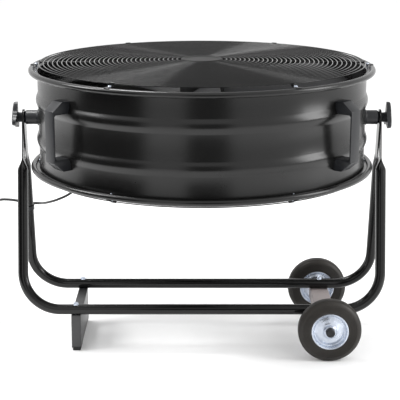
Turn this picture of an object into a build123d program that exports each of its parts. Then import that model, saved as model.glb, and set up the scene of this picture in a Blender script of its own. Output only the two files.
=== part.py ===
from build123d import *
import math
import os

# A tilting industrial drum fan on a wheeled tube stand, in millimetres. Its drum faces straight up.
# The origin is on the floor under the tilt axis. +X points to the right pivot, +Y to the rear and +Z up.

# Drum
rim_diameter = 980
wall_diameter = 931
wall_thickness = 1.5
drum_depth = 291
rim_roll_diameter = 16
curl_gap = 3
bead_width = 42
bead_height = 6
bead_spacing = 110
pivot_height = 665
drum_above_pivot = 6.5

# Guards
wire_diameter = 3
wire_sides = 6
rib_diameter = 4
weld_depth = 0.4
ring_pitch = 13
first_ring_radius = 71
outer_ring_radius = 461
guard_slope = 0.015
guard_rise = 9
guard_disc_radius = 59
guard_disc_thickness = 3
rib_under_disc = 25
clip_count = 6
clip_width = 16
clip_thickness = 3
clip_radius = 470
clip_foot_radius = 3.6
screw_diameter = 4.8
wall_screw_radius = 3

# Stand
tube_diameter = 30
tube_wall = 1.5
leg_spacing = 1030
tube_spread = 240
tube_height = 124
bend_radius = 107
flat_thickness = 3.2
flat_width = 46
flat_length = 116
flare_length = 38
flat_gap = 0.2

# Pivots and tilt knobs
stud_diameter = 12
sleeve_diameter = 41
sleeve_flange_diameter = 48
knob_hub_diameter = 29
knob_hub_length = 14
knob_radius = 45
knob_thickness = 14
knob_lobe_diameter = 22
left_knob_turn = 75
right_knob_turn = 90

# Foot and axle channels
foot_x = -363
foot_width = 28
foot_length = 260
foot_pad_height = 13
sheet_thickness = 2.5
axle_x = 362
axle_channel_width = 54
axle_channel_depth = 36
axle_channel_length = 300
frame_bolt_diameter = 8
frame_nut_height = 5
hex_radius = 7.5

# Wheels
wheel_diameter = 180
wheel_width = 44
wheel_track = 394
axle_diameter = 20
bush_thickness = 2.5
wheel_rim_diameter = 95

# Handles
handle_angle = 39
handle_length = 186
handle_width = 42
handle_reach = 50
handle_strap = 4
handle_leg = 33
handle_chamfer_run = 28
handle_chamfer_rise = 24
handle_wall = 2.5

# Motor and fan
bar_spacing = 200
bar_width = 40
bar_height = 25
bar_thickness = 3
bar_above_rim = 27
plate_thickness = 4
motor_diameter = 160
motor_length = 112
motor_cap_length = 14
shaft_diameter = 16
hub_diameter = 124
hub_length = 74
hub_above_motor = 18
blade_count = 3
blade_tip_gap = 9
blade_thickness = 4
motor_bolt_circle = 110
plate_bolt_spacing = 140

# Switch box
box_angle = 130
box_width = 100
box_depth = 60
box_height = 140
box_wall = 2
box_centre_above_pivot = 5
speed_knob_diameter = 34

# Power cord
cord_diameter = 8
gland_length = 43
cord_split_x = -385
cord_coil_radius = 48
cord_coil_x = -690
cord_coil_y = 100
cord_coil_width = 24
tie_thickness = 1.5
tie_width = 12
tie_angle = 270
plug_length = 46
plug_radius = 13
plug_turn = 200
plug_tip_x = 22
plug_tip_y = -38
cord_clip_height = 383
cord_clip_size = 14
cord_loop_y = 24
cord_loop_turn = -33

running_clearance = 0.05
clearance = 0.2

wall_radius = wall_diameter / 2
inner_radius = wall_radius - wall_thickness
drum_centre = pivot_height + drum_above_pivot
half_depth = drum_depth / 2
roll_radius = rim_roll_diameter / 2
roll_centre_radius = rim_diameter / 2 - roll_radius
roll_offset = half_depth - roll_radius
stud_radius = stud_diameter / 2
stud_bore = stud_radius + running_clearance
tube_radius = tube_diameter / 2
leg_length = math.hypot(tube_spread / 2, pivot_height - tube_height)
rear_flat_x = leg_spacing / 2 - tube_radius + 8 + flat_thickness / 2
front_flat_x = rear_flat_x + flat_thickness + flat_gap
flat_outer_x = front_flat_x + flat_thickness / 2
knob_start_x = flat_outer_x + clearance
knob_end_x = knob_start_x + knob_hub_length + knob_thickness
insert_radius = stud_radius + 3
channel_top = tube_height - tube_radius
axle_height = wheel_diameter / 2
bar_low = drum_centre - half_depth + bar_above_rim
bar_top = bar_low + bar_height
plate_top = bar_top + plate_thickness
motor_bolt_radius = motor_bolt_circle / 2
plate_bolt_x = plate_bolt_spacing / 2
motor_top = plate_top + motor_length
motor_radius = motor_diameter / 2
shaft_bore = shaft_diameter / 2 + running_clearance
hub_low = motor_top + hub_above_motor
hub_top = hub_low + hub_length
hub_radius = hub_diameter / 2
box_face = wall_radius + bead_height + 1
lid_screw_y = box_width / 2 - 8
lid_screw_z = box_height / 2 - 8
coil_floor = tie_thickness + 0.1
coil_top = coil_floor + cord_coil_width

# The cord's route from the gland's tip to the top of its coil. The drum carries the part before cord_split_x.
gland_tip = (-323, 385, 552)
cord_route = [
    gland_tip,
    (-324, 383, 512),
    (-334, 370, 466),
    (-355, 345, 420),
    (-384, 318, 385),
    (-418, 289, 362),
    (-452, 250, 355),
    (-474, 205, 359),
    (-484, 156, 369),
    (-489, 110, 381),
    (-503, 90, 386),
    (-524, 80, 391),
    (-567, 81, 400),
    (-610, 88, 399),
    (-641, 94, 374),
    (-653, 92, 328),
    (-656, 86, 268),
    (-654, 78, 206),
    (-648, 71, 148),
    (-643, 68, 99),
    (-641, 79, 60),
    (-643, 102, 34),
    (-649, 124, 22),
]


def turned(shape, angle):
    """The shape turned about the drum's axis."""
    return Rot(0, 0, angle) * shape


def rod_x(x0, x1, radius, y=0, z=0):
    """A round rod along X from x0 to x1."""
    return Pos((x0 + x1) / 2, y, z) * Rot(0, 90, 0) * Cylinder(radius, abs(x1 - x0))


def rod_y(y0, y1, radius, x=0, z=0):
    """A round rod along Y from y0 to y1."""
    return Pos(x, (y0 + y1) / 2, z) * Rot(90, 0, 0) * Cylinder(radius, abs(y1 - y0))


def rod_z(z0, z1, radius, x=0, y=0):
    """A round rod along Z from z0 to z1."""
    return Pos(x, y, (z0 + z1) / 2) * Cylinder(radius, abs(z1 - z0))


def block(x, y, z):
    """A box from its three (low, high) pairs."""
    size = [pair[1] - pair[0] for pair in (x, y, z)]
    return Pos(sum(x) / 2, sum(y) / 2, sum(z) / 2) * Box(*size)


def spun(outline, centre_z=0):
    """A solid of revolution about Z from a closed outline of (radius, z) points."""
    face = make_face(Polyline(*outline, close=True))
    return Pos(0, 0, centre_z) * revolve(Plane.XZ * face, axis=Axis.Z)


def bead_arc(radius, sign):
    """One bead's arc on the wall's outline, from below to above."""
    z = sign * bead_spacing / 2
    low, high = (radius, z - bead_width / 2), (radius, z + bead_width / 2)
    return ThreePointArc(low, (radius + bead_height, z), high)


def wall_line(radius, end):
    """The drum wall's outline at one radius, from -end to end, with both beads."""
    lower, upper = bead_arc(radius, -1), bead_arc(radius, 1)
    return [
        Line((radius, -end), lower @ 0),
        lower,
        Line(lower @ 1, upper @ 0),
        upper,
        Line(upper @ 1, (radius, end)),
    ]


def drum_envelope(grow):
    """The solid inside the drum wall's outer face, beads and all, grown by a clearance."""
    radius, end = wall_radius + grow, half_depth - rim_roll_diameter
    outline = wall_line(radius, end) + [Polyline((radius, end), (0, end), (0, -end), (radius, -end))]
    return Pos(0, 0, drum_centre) * revolve(Plane.XZ * make_face(outline), axis=Axis.Z)


def drum_wall():
    end = roll_offset - wall_thickness / 2
    outline = wall_line(inner_radius, end) + wall_line(wall_radius, end)
    outline += [Line((inner_radius, s * end), (wall_radius, s * end)) for s in (-1, 1)]
    wall = Pos(0, 0, drum_centre) * revolve(Plane.XZ * make_face(outline), axis=Axis.Z)
    reach = rim_diameter / 2
    wall -= rod_x(-reach, reach, stud_radius + clearance, z=pivot_height)
    for angle, y, z in wall_screw_places():
        wall -= turned(rod_x(inner_radius - 10, wall_radius + 10, wall_screw_radius + clearance, y, z), angle)
    return wall


def drum_rim(side):
    """A flat flange on the wall's end, curled over at its edge."""
    flange_width = roll_centre_radius - roll_radius + wall_thickness - inner_radius
    section = Pos(inner_radius + flange_width / 2, 0) * Rectangle(flange_width, wall_thickness)
    curl = Circle(roll_radius) - Circle(roll_radius - wall_thickness)
    curl -= Pos(-roll_radius, -(wall_thickness + curl_gap) / 2) * Rectangle(roll_radius, curl_gap)
    section += Pos(roll_centre_radius, 0) * curl
    rim = Pos(0, 0, roll_offset) * revolve(Plane.XZ * section, axis=Axis.Z)
    hole = rod_z(0, half_depth, screw_diameter / 2 + clearance, x=clip_radius)
    rim -= [turned(hole, angle) for angle in clip_angles()]
    return flipped(rim, side)


def drum_shell():
    """The wall and both rims, which meet without a gap."""
    return Compound(children=[drum_wall(), drum_rim(1), drum_rim(-1)])


def clip_angles():
    """The directions of the guard clips. Two are on the tilt axis."""
    return [360 / clip_count * i for i in range(clip_count)]


def guard_height(radius):
    """How far a ring of this radius is from the drum's mid-depth."""
    return half_depth + guard_rise + guard_slope * (outer_ring_radius - radius)


def flipped(shape, side):
    """A guard piece made about the drum's mid-depth, put on the top or bottom side."""
    return Pos(0, 0, drum_centre) * (shape if side > 0 else Rot(180, 0, 0) * shape)


def guard(side):
    """The wire rings, welded onto their ribs and the middle disc."""
    ring_count = round((outer_ring_radius - first_ring_radius) / ring_pitch) + 1
    radii = [outer_ring_radius - ring_pitch * i for i in range(ring_count)]
    wire = RegularPolygon(wire_diameter / 2, wire_sides, major_radius=False)
    rings = [revolve(Plane.XZ * Pos(r, guard_height(r)) * wire, axis=Axis.Z) for r in radii]
    drop = wire_diameter / 2 + rib_diameter / 2 - weld_depth
    inner, outer = guard_disc_radius - rib_under_disc, outer_ring_radius + wire_diameter / 2
    middle = (inner + outer) / 2
    length = (outer - inner) / math.cos(math.atan(guard_slope))
    rod = Cylinder(rib_diameter / 2, length)
    tilt = 90 + math.degrees(math.atan(guard_slope))
    rib = Pos(middle, 0, guard_height(middle) - drop) * Rot(0, tilt, 0) * rod
    ribs = [turned(rib, angle) for angle in clip_angles()]
    top = guard_height(guard_disc_radius) + wire_diameter / 2
    foot = top - guard_disc_thickness
    disc = spun([(0, top), (guard_disc_radius, top), (guard_disc_radius, foot), (0, foot)])
    return flipped(disc.fuse(*ribs).fuse(*rings), side)


def guard_clips(side):
    bottom = half_depth + running_clearance
    tab = block(
        (outer_ring_radius - 8, roll_centre_radius + 4),
        (-clip_width / 2, clip_width / 2),
        (bottom, bottom + clip_thickness),
    )
    flange_top = roll_offset + wall_thickness / 2 + running_clearance
    tab += rod_z(flange_top, bottom, clip_foot_radius, x=clip_radius)
    tab -= rod_z(flange_top, bottom + clip_thickness, screw_diameter / 2 + clearance, x=clip_radius)
    tabs = [turned(tab, angle) for angle in clip_angles()]
    return flipped(Compound(children=tabs), side)


def guard_screws():
    seat = half_depth + running_clearance + clip_thickness
    screws = []
    for side in (-1, 1):
        head = Pos(clip_radius, 0, seat + 1.8) * Cylinder(5, 3.6)
        head = fillet(head.edges().group_by(Axis.Z)[-1], 1.2)
        shank = rod_z(roll_offset - 5, seat, screw_diameter / 2, x=clip_radius)
        screw = head + shank
        screws += [flipped(turned(screw, angle), side) for angle in clip_angles()]
    return Compound(children=screws)


def wall_screw_places():
    """(direction, sideways, height) of the screws through the drum wall."""
    grip = handle_length / 2 - handle_leg / 2
    handles = [(180 + handle_angle, 0), (-handle_angle, 0)]
    places = [(a, y, drum_centre + s * grip) for a, y in handles for s in (-1, 1)]
    return places + [(box_angle, y, drum_centre) for y in (-30, 30)]


def wall_screws():
    screws = []
    for angle, y, z in wall_screw_places():
        seat = math.sqrt((inner_radius - clearance) ** 2 - (abs(y) + 6) ** 2)
        end = seat + 15
        screw = rod_x(seat - 4, seat, 6, y, z) + rod_x(seat, end, wall_screw_radius, y, z)
        screws.append(turned(screw, angle))
    return Compound(children=screws)


def handle(angle):
    """A bow handle. Its own frame has X away from the drum's axis and Z up."""
    near, far = wall_radius - 6, wall_radius + handle_reach
    half, chamfer = handle_length / 2, handle_length / 2 - handle_chamfer_rise
    knee = far - handle_chamfer_run
    outline = [(near, -half), (knee, -half), (far, -chamfer), (far, chamfer), (knee, half), (near, half)]
    body = extrude(Plane.XZ * make_face(Polyline(*outline, close=True)), handle_width / 2, both=True)
    opening = half - handle_leg
    body -= block((near, far - handle_strap), (-handle_width, handle_width), (-opening, opening))
    for side in (-1, 1):
        low, high = sorted((side * (opening + handle_wall), side * (half - handle_wall)))
        inside = handle_width / 2 - handle_wall
        pocket = block((near, knee - 4), (-inside, inside), (low, high))
        boss = rod_x(near, knee, 7, z=(low + high) / 2)
        body -= pocket - boss
    body = Pos(0, 0, drum_centre) * body
    for side in (-1, 1):
        z = drum_centre + side * (half - handle_leg / 2)
        body -= rod_x(near, wall_radius + 16, wall_screw_radius + running_clearance, z=z)
    return turned(body, angle) - drum_envelope(0.1)


def sleeve(side):
    """The spacer tube between the drum's wall and the legs, with its flange on the wall."""
    start, end = wall_radius + 0.1, rear_flat_x - flat_thickness / 2 - clearance
    body = rod_x(start, end, sleeve_diameter / 2, z=pivot_height)
    body += rod_x(start, start + 5, sleeve_flange_diameter / 2, z=pivot_height)
    body -= rod_x(start, end, stud_radius + clearance, z=pivot_height)
    return body if side > 0 else Rot(0, 0, 180) * body


def stud(side):
    end = knob_end_x - 6
    head = rod_x(inner_radius - 6, inner_radius - 0.4, 13, z=pivot_height)
    body = head + rod_x(inner_radius - 0.4, end, stud_radius, z=pivot_height)
    return body if side > 0 else Rot(0, 0, 180) * body


def knob(side, turn):
    """A three-lobed hand knob with a round hub towards the leg."""
    x = knob_start_x + knob_hub_length
    hub = rod_x(knob_start_x, x, knob_hub_diameter / 2)
    plate = rod_x(x, x + knob_thickness, knob_hub_diameter / 2 + 3)
    lobe_centre = knob_radius - knob_lobe_diameter / 2
    for i in range(3):
        arm = block((x, x + knob_thickness), (0, lobe_centre), (-knob_lobe_diameter / 2, knob_lobe_diameter / 2))
        arm += rod_x(x, x + knob_thickness, knob_lobe_diameter / 2, y=lobe_centre)
        plate += Rot(120 * i, 0, 0) * arm
    plate = fillet(plate.faces().sort_by(Axis.X)[-1].edges(), 3)
    body = hub + plate
    body -= rod_x(knob_start_x, knob_end_x - 5, insert_radius)
    placed = Pos(0, 0, pivot_height) * Rot(turn, 0, 0) * body
    return placed if side > 0 else mirror(placed, Plane.YZ)


def knob_insert(side):
    body = rod_x(knob_start_x, knob_end_x - 5, insert_radius, z=pivot_height)
    body -= rod_x(knob_start_x, knob_end_x - 5, stud_bore, z=pivot_height)
    return body if side > 0 else Rot(0, 0, 180) * body


def leg_plane(side):
    """The leaning plane of one frame tube: its X is the row's, its Y runs up the leg to the pivot."""
    up = Vector(0, -side * tube_spread / 2, pivot_height - tube_height).normalized()
    normal = Vector(1, 0, 0).cross(up)
    return Plane(origin=(0, side * tube_spread / 2, tube_height), x_dir=(1, 0, 0), z_dir=normal)


def frame_tube(side, flat_x):
    """One bent tube with both ends squeezed flat, in its own plane."""
    flare_start, flat_start = leg_length - flat_length - flare_length, leg_length - flat_length
    half = leg_spacing / 2
    corners = [(-half, flare_start), (-half, 0), (half, 0), (half, flare_start)]
    path = FilletPolyline(*corners, radius=bend_radius)
    start = Plane(origin=path @ 0, z_dir=path % 0)
    tube = sweep(start * Circle(tube_radius), path=path)
    tube -= sweep(start * Circle(tube_radius - tube_wall), path=path)
    for end in (-1, 1):
        round_cut = Plane(origin=(end * half, flare_start, 0), x_dir=(0, 0, 1), z_dir=(0, 1, 0))
        flat_cut = Plane(origin=(end * flat_x, flat_start, 0), x_dir=(0, 0, 1), z_dir=(0, 1, 0))
        round_end = SlotOverall(tube_diameter + 0.1, tube_diameter)
        tube += loft([round_cut * round_end, flat_cut * SlotOverall(flat_width, flat_thickness)], ruled=True)
        blade = Pos(0, leg_length - flat_length / 2, 0) * Box(flat_thickness, flat_length, flat_width)
        blade += Pos(0, leg_length, 0) * Rot(0, 90, 0) * Cylinder(flat_width / 2, flat_thickness)
        blade -= Pos(0, leg_length, 0) * Rot(0, 90, 0) * Cylinder(stud_bore, flat_thickness)
        tube += Pos(end * flat_x, 0, 0) * blade
    placed = leg_plane(side).location * tube
    for x in (foot_x, axle_x):
        bolt = frame_bolt_diameter / 2 + clearance
        placed -= rod_z(tube_height - 20, tube_height + 20, bolt, x=x, y=side * tube_spread / 2)
    return placed


def foot_channel():
    """A tall sheet channel, open below, under both tubes."""
    half_x, half_y = foot_width / 2, foot_length / 2
    body = block((-half_x, half_x), (-half_y, half_y), (foot_pad_height, channel_top))
    inside_x, inside_y = half_x - sheet_thickness, half_y - sheet_thickness
    body -= block((-inside_x, inside_x), (-inside_y, inside_y), (0, channel_top - sheet_thickness))
    body = Pos(foot_x, 0, 0) * body
    for y in (-tube_spread / 2, tube_spread / 2):
        body -= rod_z(0, channel_top, frame_bolt_diameter / 2 + clearance, x=foot_x, y=y)
    return body


def foot_pads():
    """Rubber feet, pushed up into both ends of the foot channel."""
    pads = []
    inside = foot_width / 2 - sheet_thickness - clearance
    for side in (-1, 1):
        end = side * (foot_length / 2 - sheet_thickness - clearance)
        low, high = sorted((end, end - side * 34))
        plug = block((-inside, inside), (low, high), (0, foot_pad_height + 14))
        plug = chamfer(plug.edges().group_by(Axis.Z)[0], 2)
        pads.append(Pos(foot_x, 0, 0) * plug)
    return Compound(children=pads)


def frame_bolts(x, wall):
    """Bolts down through both tubes and the channel's top, with their nuts."""
    radius = frame_bolt_diameter / 2
    top, under = tube_height + tube_radius, channel_top - wall
    pieces = []
    for y in (-tube_spread / 2, tube_spread / 2):
        head = Pos(x, y, top) * extrude(RegularPolygon(hex_radius, 6), 5.5)
        end = under - frame_nut_height - 0.6
        pieces.append(head + rod_z(end, top, radius, x=x, y=y))
        nut = Pos(x, y, under - frame_nut_height) * extrude(RegularPolygon(hex_radius, 6), frame_nut_height - 0.1)
        pieces.append(nut - rod_z(end, under, radius + running_clearance, x=x, y=y))
    return Compound(children=pieces)


def axle_channel():
    """An inverted channel under both tubes. Its ends are closed and carry the axle."""
    half_x, half_y = axle_channel_width / 2, axle_channel_length / 2
    bottom = channel_top - axle_channel_depth
    body = block((-half_x, half_x), (-half_y, half_y), (bottom, channel_top))
    inside_x, inside_y = half_x - sheet_thickness, half_y - sheet_thickness
    body -= block((-inside_x, inside_x), (-inside_y, inside_y), (bottom, channel_top - sheet_thickness))
    body -= rod_y(-half_y, half_y, axle_diameter / 2 + running_clearance, z=axle_height)
    body = Pos(axle_x, 0, 0) * body
    for y in (-tube_spread / 2, tube_spread / 2):
        top = channel_top + 1
        body -= rod_z(axle_height + 12, top, frame_bolt_diameter / 2 + clearance, x=axle_x, y=y)
    return body


def axle():
    end = wheel_track / 2 + wheel_width / 2 + 10
    return rod_y(-end, end, axle_diameter / 2, x=axle_x, z=axle_height)


def wheel_spacers():
    """Tubes on the axle between the channel's ends and the wheels."""
    start, end = axle_channel_length / 2 + 0.1, wheel_track / 2 - wheel_width / 2 - 0.3
    pieces = []
    for side in (-1, 1):
        tube = rod_y(side * start, side * end, 14, x=axle_x, z=axle_height)
        tube -= rod_y(side * start, side * end, axle_diameter / 2 + clearance, x=axle_x, z=axle_height)
        pieces.append(tube)
    return Compound(children=pieces)


def axle_caps():
    """Caps pushed on both ends of the axle."""
    start = wheel_track / 2 + wheel_width / 2 + 0.3
    end = wheel_track / 2 + wheel_width / 2 + 12
    pieces = []
    for side in (-1, 1):
        cap = rod_y(side * start, side * end, 12.2, x=axle_x, z=axle_height)
        cap -= rod_y(side * start, side * (end - 1.9), axle_diameter / 2 + 0.02, x=axle_x, z=axle_height)
        slot = Box(16, 1.2, 2.2)
        cap -= Pos(axle_x, side * (end - 0.6), axle_height) * slot
        pieces.append(cap)
    return Compound(children=pieces)


def wheel_place(side):
    """Turns a wheel piece made about Z into its place on the axle."""
    return Pos(axle_x, side * wheel_track / 2, axle_height) * Rot(90 * side, 0, 0)


def tyre(side):
    half, outer, bead = wheel_width / 2, wheel_diameter / 2, wheel_rim_diameter / 2
    outline = [(bead, -half + 6), (bead + 8, -half + 1), (outer - 16, -half), (outer - 5, -half + 6)]
    outline += [(outer, -half + 14)]
    outline += [(r, -z) for r, z in reversed(outline)]
    return wheel_place(side) * spun(outline)


def wheel_rim(side):
    """Two pressed discs on a hub tube, joined by the rim that the tyre sits on."""
    half, rim, sheet = wheel_width / 2, wheel_rim_diameter / 2 - 0.1, 2
    hub_in = axle_diameter / 2 + bush_thickness + running_clearance
    hub_out = hub_in + 4
    well = rim - sheet
    edge, dish = half - 5, half - 14
    outline = [(hub_in, half), (hub_out, half), (hub_out, dish + 4), (well - 14, dish), (well, edge)]
    outline += [(rim, edge)]
    inner = [(well, dish - sheet), (well - 14, dish - sheet), (hub_out, dish), (hub_out, -dish)]
    inner += [(well - 14, -dish + sheet), (well, -dish + sheet)]
    body = spun(outline + [(r, -z) for r, z in reversed(outline)])
    return wheel_place(side) * (body - spun(inner))


def wheel_bush(side):
    half = wheel_width / 2
    inner, outer = axle_diameter / 2 + running_clearance, axle_diameter / 2 + bush_thickness
    return wheel_place(side) * spun([(inner, -half), (outer, -half), (outer, half), (inner, half)])


def motor_bar(side):
    """A channel across the drum, open below, cut to the drum's wall."""
    y = side * bar_spacing / 2
    reach = wall_radius
    body = block((-reach, reach), (y - bar_width / 2, y + bar_width / 2), (bar_low, bar_top))
    inside = bar_width / 2 - bar_thickness
    body -= block((-reach, reach), (y - inside, y + inside), (bar_low, bar_top - bar_thickness))
    for x in (-plate_bolt_x, plate_bolt_x):
        body -= rod_z(bar_low, bar_top, 4 + clearance, x=x, y=y)
    return body & rod_z(bar_low - 1, bar_top + 1, inner_radius - 0.1)


def motor_plate():
    half_x, half_y = plate_bolt_x + 30, bar_spacing / 2 + bar_width / 2
    body = block((-half_x, half_x), (-half_y, half_y), (bar_top, plate_top))
    for x in (-plate_bolt_x, plate_bolt_x):
        for y in (-bar_spacing / 2, bar_spacing / 2):
            body -= rod_z(bar_top, plate_top, 4 + clearance, x=x, y=y)
    body -= rod_z(bar_top, plate_top, 20)
    for angle in (0, 90, 180, 270):
        body -= turned(rod_z(bar_top, plate_top, 3 + clearance, x=motor_bolt_radius), angle)
    return body


def plate_bolts():
    """Bolts through the motor plate and the bars' tops, with their nuts."""
    pieces = []
    under = bar_top - bar_thickness
    for x in (-plate_bolt_x, plate_bolt_x):
        for y in (-bar_spacing / 2, bar_spacing / 2):
            head = Pos(x, y, plate_top) * extrude(RegularPolygon(7, 6), 5)
            pieces.append(head + rod_z(under - 9, plate_top, 4, x=x, y=y))
            nut = Pos(x, y, under - 6.5) * extrude(RegularPolygon(7, 6), 6.4)
            pieces.append(nut - rod_z(under - 6.5, under, 4 + running_clearance, x=x, y=y))
    return Compound(children=pieces)


def motor_bolts():
    """Screws up through the plate into the motor's rear cap."""
    screw = rod_z(bar_top - 4, bar_top, 5.5, x=motor_bolt_radius)
    screw += rod_z(bar_top, plate_top + 9, 3, x=motor_bolt_radius)
    return Compound(children=[turned(screw, angle) for angle in (0, 90, 180, 270)])


def motor_rear_cap():
    top = plate_top + motor_cap_length
    body = rod_z(plate_top, top, motor_radius)
    body -= rod_z(plate_top + 5, top, shaft_bore)
    for angle in (0, 90, 180, 270):
        body -= turned(rod_z(plate_top, plate_top + 9.5, 3 + running_clearance, x=motor_bolt_radius), angle)
    return body


def motor_front_cap():
    low = motor_top - motor_cap_length
    body = rod_z(low, motor_top, motor_radius) - rod_z(low, motor_top, shaft_bore)
    return fillet(body.edges().filter_by(GeomType.CIRCLE).group_by(Axis.Z)[-1].sort_by(SortBy.RADIUS)[-1], 6)


def motor_case():
    """The motor's finned case."""
    low, high = plate_top + motor_cap_length, motor_top - motor_cap_length
    body = rod_z(low, high, motor_radius - 4)
    for angle in range(0, 360, 15):
        body += turned(block((motor_radius - 8, motor_radius), (-1.5, 1.5), (low, high)), angle)
    return body - rod_z(low, high, motor_radius - 9)


def motor_stator():
    low, high = plate_top + motor_cap_length + 4, motor_top - motor_cap_length - 4
    return rod_z(low, high, motor_radius - 9.2) - rod_z(low, high, 45)


def motor_shaft():
    """The shaft with the rotor on it."""
    low, high = plate_top + motor_cap_length + 8, motor_top - motor_cap_length - 8
    body = rod_z(plate_top + 5.5, hub_top - 4, shaft_diameter / 2)
    return body + rod_z(low, high, 44)


def fan_hub():
    body = rod_z(hub_low, hub_top, hub_radius) - rod_z(hub_low, hub_top - 8, hub_radius - 6)
    body += rod_z(hub_low, hub_top, 16)
    body = fillet(body.edges().filter_by(GeomType.CIRCLE).group_by(Axis.Z)[-1].sort_by(SortBy.RADIUS)[-1], 4)
    return body - rod_z(hub_low, hub_top - 3.9, shaft_diameter / 2 + 0.02)


def fan_blade(index):
    """A twisted blade from the hub to the wall's running gap."""
    middle = (hub_low + hub_top) / 2
    tip_radius = inner_radius - blade_tip_gap

    def section(x, chord, pitch):
        plane = Plane(origin=(x, 0, middle), x_dir=(0, 1, 0), z_dir=(1, 0, 0))
        return plane * Rot(0, 0, pitch) * Rectangle(chord, blade_thickness)

    body = loft([section(hub_radius - 20, 132, 33), section(tip_radius + 10, 270, 17)], ruled=True)
    body &= rod_z(hub_low - 40, hub_top + 40, tip_radius)
    body -= rod_z(hub_low - 40, hub_top + 40, hub_radius + 0.05)
    return turned(body, 360 / blade_count * index + 20)


def on_box(shape):
    """Puts a switch-box piece, made with X away from the drum and Z up, in place."""
    return turned(Pos(box_face, 0, pivot_height + box_centre_above_pivot) * shape, box_angle)


def switch_box():
    body = block((0, box_depth), (-box_width / 2, box_width / 2), (-box_height / 2, box_height / 2))
    body = fillet(body.edges().filter_by(Axis.X), 6)
    inside_y, inside_z = box_width / 2 - box_wall, box_height / 2 - box_wall
    body -= block((box_wall, box_depth), (-inside_y, inside_y), (-inside_z, inside_z))
    for y in (-lid_screw_y, lid_screw_y):
        for z in (-lid_screw_z, lid_screw_z):
            body += rod_x(1, box_depth, 5.9, y, z) - rod_x(box_depth - 14, box_depth, 2.05, y, z)
    pad_z = drum_centre - pivot_height - box_centre_above_pivot
    for y in (-30, 30):
        body += rod_x(-18, 1, 9, y, pad_z)
        body -= rod_x(-18, box_wall, wall_screw_radius + running_clearance, y, pad_z)
    body -= rod_z(-box_height / 2, -box_height / 2 + box_wall, 8.3, x=box_depth / 2)
    return on_box(body) - drum_envelope(0.1)


def switch_lid():
    body = block((0, 2), (-box_width / 2, box_width / 2), (-box_height / 2, box_height / 2))
    body = fillet(body.edges().filter_by(Axis.X), 6)
    for y in (-lid_screw_y, lid_screw_y):
        for z in (-lid_screw_z, lid_screw_z):
            body -= rod_x(0, 2, 2.2, y, z)
    body -= rod_x(0, 2, 4.2)
    return on_box(Pos(box_depth + 0.05, 0, 0) * body)


def lid_screws():
    screws = []
    for y in (-lid_screw_y, lid_screw_y):
        for z in (-lid_screw_z, lid_screw_z):
            seat = box_depth + 2.1
            screws.append(on_box(rod_x(seat, seat + 2.4, 4, y, z) + rod_x(seat - 12, seat, 2, y, z)))
    return Compound(children=screws)


def speed_switch():
    body = block((box_depth - 30, box_depth), (-16, 16), (-16, 16))
    return on_box(body + rod_x(box_depth, box_depth + 18, 3))


def speed_knob():
    start = box_depth + 2.6
    body = rod_x(start, start + 4, speed_knob_diameter / 2)
    body += block((start + 4, start + 18), (-4.5, 4.5), (-speed_knob_diameter / 2 + 2, speed_knob_diameter / 2 - 2))
    return on_box(body - rod_x(start, box_depth + 18.2, 3 + running_clearance))


def cord_gland():
    """A nylon gland through the box's floor. Its tip meets the cord."""
    tip, top = gland_tip[2], gland_tip[2] + gland_length
    low_box = pivot_height + box_centre_above_pivot - box_height / 2
    outline = [(cord_diameter / 2 + 0.2, tip), (6.5, tip), (9, tip + 12), (9, tip + 24), (12.5, tip + 24)]
    outline += [(12.5, low_box - 0.1), (8.1, low_box - 0.1), (8.1, top + 14), (cord_diameter / 2 + 0.2, top + 14)]
    x, y = gland_tip[:2]
    return Pos(x, y, 0) * spun(outline)


def arc_radii(points):
    """The largest fillet at each inner point that the runs beside it allow."""
    radii = []
    for a, b, c in zip(points, points[1:], points[2:]):
        before, after = Vector(*b) - Vector(*a), Vector(*c) - Vector(*b)
        turn = math.radians(before.get_angle(after))
        radii.append(0.45 * min(before.length, after.length) / math.tan(turn / 2))
    return radii


def cord_tube(diameter):
    """A tube along the whole route."""
    path = FilletPolyline(*cord_route, radius=arc_radii(cord_route))
    section = Plane(origin=path @ 0, z_dir=path % 0) * Circle(diameter / 2)
    tube = sweep(section, path=path)
    print("cord tube", round(path.length), "long, volume share", tube.volume / section.area / path.length)
    return tube


def cord_lead(tube):
    """The drum's part of the cord: what is on the drum's side of the split."""
    return tube & block((cord_split_x + 0.15, 0), (0, 600), (0, 700))


def cord_run(tube):
    """The stand's part of the cord, down to its coil."""
    return tube & block((-800, cord_split_x - 0.15), (0, 600), (coil_top + 0.05, 700))


def cord_coil():
    """The outer shape of the spare cord's turns."""
    inner, outer = cord_coil_radius - cord_coil_width / 2, cord_coil_radius + cord_coil_width / 2
    body = spun([(inner, coil_floor), (outer, coil_floor), (outer, coil_top), (inner, coil_top)])
    body = fillet(body.edges().filter_by(GeomType.CIRCLE), 5)
    return Pos(cord_coil_x, cord_coil_y, 0) * body


def cord_tie():
    """A strap round the turns of the coil."""
    half, wide, thick = cord_coil_width / 2 + 0.05, cord_coil_width / 2 + 0.7, tie_thickness
    outer = block((-wide - thick, wide + thick), (-tie_width / 2, tie_width / 2), (-half - thick, half + thick))
    strap = outer - block((-wide, wide), (-tie_width, tie_width), (-half, half))
    middle = (coil_floor + coil_top) / 2
    centre = Pos(cord_coil_x, cord_coil_y, middle)
    return centre * Rot(0, 0, tie_angle) * Pos(cord_coil_radius, 0, 0) * strap


def plug_place():
    """The plug lies on the coil. Its own frame has the pins pointing along X."""
    centre = Pos(cord_coil_x, cord_coil_y, coil_top + plug_radius + 0.1)
    return centre * Rot(0, 0, plug_turn) * Pos(plug_tip_x, plug_tip_y, 0)


def plug_body():
    body = Pos(-plug_length / 2, 0, 0) * Rot(0, 90, 0) * Cylinder(plug_radius, plug_length)
    body = fillet(body.edges().sort_by(Axis.X)[0], 7)
    return plug_place() * body


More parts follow.
